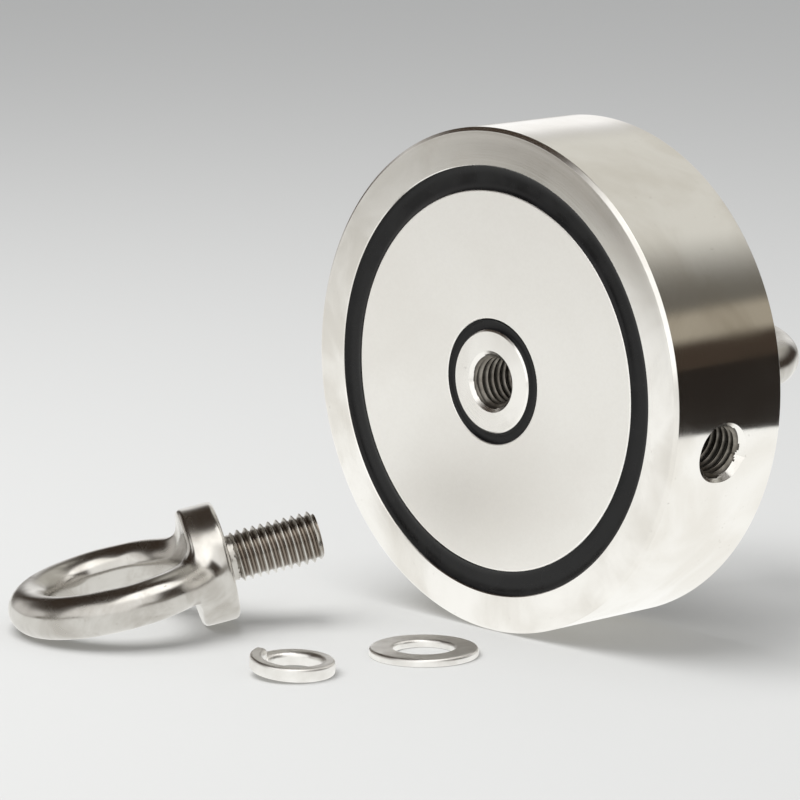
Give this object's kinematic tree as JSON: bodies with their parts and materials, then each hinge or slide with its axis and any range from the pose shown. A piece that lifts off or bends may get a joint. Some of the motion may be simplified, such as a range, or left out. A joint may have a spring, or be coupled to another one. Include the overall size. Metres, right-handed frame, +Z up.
{
  "type": "fishing magnet",
  "caption": "Double-sided fishing magnet: a round steel pot with a ring magnet bedded in each face, a screw-in eyebolt at the back, and a spare eyebolt with its washers.",
  "frame": {"origin": "on the floor at the middle of the whole layout, pot, eyebolts and washers together", "axes": "+Z up, -Y out of the front pull face along the pot's axis, +X towards the side with the threaded hole in the rim"},
  "size_m": [0.1162, 0.1438, 0.0938],
  "materials": {
    "nickel_plated_steel": "bright nickel plate over turned steel, softly polished",
    "nickel_plated_magnet": "satin nickel plate over sintered neodymium",
    "grey_adhesive": "cured structural adhesive",
    "black_epoxy": "poured and cured, glossy",
    "stainless_steel": "cast and polished, with thread cut after",
    "washer_steel": "satin, tumbled edges"
  },
  "bodies": {
    "magnet_body": {"steel_pot": "nickel_plated_steel", "centre_bush": "nickel_plated_steel", "front_ring_magnet": "nickel_plated_magnet", "rear_ring_magnet": "nickel_plated_magnet", "front_adhesive_bed": "grey_adhesive", "rear_adhesive_bed": "grey_adhesive", "front_outer_epoxy_ring": "black_epoxy", "rear_outer_epoxy_ring": "black_epoxy", "front_inner_epoxy_ring": "black_epoxy", "rear_inner_epoxy_ring": "black_epoxy"},
    "rear_washers": {"rear_flat_washer": "washer_steel", "rear_spring_washer": "washer_steel"},
    "rear_eye": {"rear_eyebolt": "stainless_steel"},
    "spare_eye": {"spare_eyebolt": "stainless_steel"},
    "spare_washer_flat": {"spare_flat_washer": "washer_steel"},
    "spare_washer_spring": {"spare_spring_washer": "washer_steel"}
  },
  "joints": [
    {"name": "rear_eyebolt_travel", "type": "slide", "parent": "magnet_body", "child": "rear_washers", "axis": [0, 1, 0], "range_m": [0, 0.013]},
    {"name": "rear_eyebolt_unscrew", "type": "hinge", "parent": "rear_washers", "child": "rear_eye", "pos_m": [0.0111, 0.0305, 0.04691], "axis": [0, 1, 0], "range_deg": [0, 3110]},
    {"name": "spare_eyebolt_lift", "type": "slide", "parent": "magnet_body", "child": "spare_eye", "axis": [0, 0, 1], "range_m": [0, 0.04]},
    {"name": "spare_flat_washer_lift", "type": "slide", "parent": "magnet_body", "child": "spare_washer_flat", "axis": [0, 0, 1], "range_m": [0, 0.04]},
    {"name": "spare_spring_washer_lift", "type": "slide", "parent": "magnet_body", "child": "spare_washer_spring", "axis": [0, 0, 1], "range_m": [0, 0.04]}
  ],
  "couplings": [
    {"joint": "rear_eyebolt_travel", "follows": "rear_eyebolt_unscrew", "m_per_rad": 0.00023873}
  ]
}
